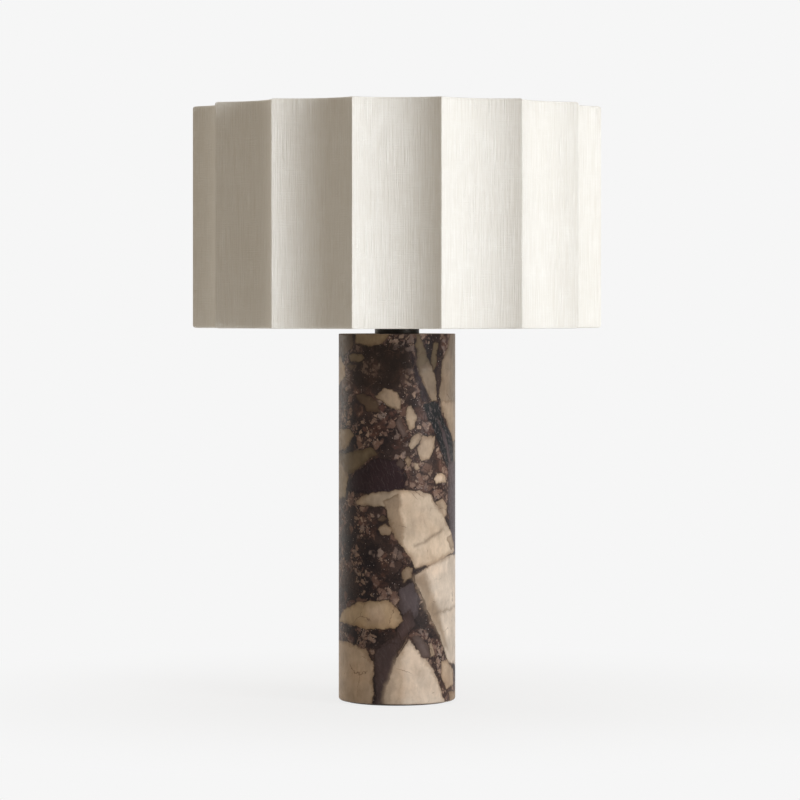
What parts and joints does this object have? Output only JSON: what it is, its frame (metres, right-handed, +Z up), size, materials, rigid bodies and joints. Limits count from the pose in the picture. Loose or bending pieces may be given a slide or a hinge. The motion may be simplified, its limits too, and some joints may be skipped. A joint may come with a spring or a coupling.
{
  "type": "column table lamp",
  "caption": "Table lamp with a turned breccia marble column and a drum shade of off-white linen, fluted all round, that hangs from a harp over a screw-in bulb.",
  "frame": {"origin": "on the lamp's axis, at the underside of the felt pad that it stands on", "axes": "+Z up along the column; -Y is the front; +Y is the back, where the cable leaves; the switch knob points to +X"},
  "size_m": [0.4118, 0.4095, 0.6],
  "materials": {
    "marble": "polished brecciated marble, cream and tan fragments in a dark plum ground",
    "felt": "dense wool felt",
    "black_steel": "matt black paint",
    "zinc_steel": "bright zinc plate",
    "grey_nylon": "moulded nylon",
    "black_nylon": "moulded nylon",
    "white_nylon": "moulded polyamide",
    "brass": "plain brass",
    "tinned_brass": "tinned",
    "brown_pvc": "insulated wire",
    "blue_pvc": "insulated wire",
    "green_pvc": "insulated wire, green and yellow",
    "dark_bronze": "dark bronze lacquer, satin",
    "nickel": "satin nickel plate",
    "fibre": "fish paper",
    "porcelain": "glazed porcelain",
    "black_phenolic": "moulded phenolic",
    "opal_glass": "opal glass",
    "bulb_aluminium": "rolled thread",
    "black_glass": "vitreous insulator",
    "solder": "tinned contact",
    "white_wire": "white epoxy",
    "lining": "stiff styrene sheet",
    "linen": "off-white slubbed linen"
  },
  "bodies": {
    "lamp_base": {"marble_column": "marble", "felt_pad": "felt", "base_plate": "black_steel", "base_screws": "zinc_steel", "screw_plugs": "grey_nylon", "cable_bush": "black_nylon", "terminal_block": "white_nylon", "terminal_barrels": "brass", "clamp_screws": "zinc_steel", "block_screws": "zinc_steel", "live_wire": "brown_pvc", "neutral_wire": "blue_pvc", "earth_wire": "green_pvc", "earth_tag": "tinned_brass", "lamp_tube": "zinc_steel", "clamp_washer": "zinc_steel", "lock_washer": "zinc_steel", "clamp_nut": "zinc_steel", "check_ring": "dark_bronze", "harp_saddle": "nickel", "saddle_nut": "zinc_steel", "socket_cap": "brass", "set_screw": "zinc_steel", "socket_shell": "brass", "insulating_sleeve": "fibre", "socket_body": "porcelain", "socket_terminals": "brass", "screw_shell": "tinned_brass", "centre_contact": "brass"},
    "switch": {"switch_shaft": "brass", "switch_knob": "black_phenolic"},
    "bulb": {"bulb_glass": "opal_glass", "bulb_cap": "bulb_aluminium", "bulb_insulator": "black_glass", "bulb_contact": "solder"},
    "harp": {"harp": "nickel", "harp_ends": "nickel"},
    "front_ferrule": {"front_ferrule": "nickel"},
    "rear_ferrule": {"rear_ferrule": "nickel"},
    "swivel": {"swivel_stud": "nickel"},
    "shade": {"top_ring": "white_wire", "bottom_ring": "white_wire", "frame_ribs": "white_wire", "spider_washer": "white_wire", "spider_arms": "white_wire", "lining_panels": "lining", "linen_cover": "linen"},
    "finial": {"finial_base": "dark_bronze", "finial_ball": "dark_bronze"}
  },
  "joints": [
    {"name": "switch_turn", "type": "hinge", "parent": "lamp_base", "child": "switch", "pos_m": [0.02, 0, 0.4101], "axis": [1, 0, 0], "continuous": true},
    {"name": "bulb_out", "type": "slide", "parent": "lamp_base", "child": "bulb", "axis": [0, 0, 1], "range_m": [0, 0.027]},
    {"name": "harp_lift", "type": "slide", "parent": "lamp_base", "child": "harp", "axis": [0, 0, 1], "range_m": [0, 0.03]},
    {"name": "front_ferrule_slide", "type": "slide", "parent": "harp", "child": "front_ferrule", "axis": [0, 0, 1], "range_m": [0, 0.022]},
    {"name": "rear_ferrule_slide", "type": "slide", "parent": "harp", "child": "rear_ferrule", "axis": [0, 0, 1], "range_m": [0, 0.022]},
    {"name": "shade_turn", "type": "hinge", "parent": "harp", "child": "swivel", "pos_m": [0, 0, 0.5735], "axis": [0, 0, 1], "continuous": true},
    {"name": "shade_lift", "type": "slide", "parent": "swivel", "child": "shade", "axis": [0, 0, 1], "range_m": [0, 0.22]},
    {"name": "finial_off", "type": "slide", "parent": "shade", "child": "finial", "axis": [0, 0, 1], "range_m": [0, 0.015]}
  ]
}
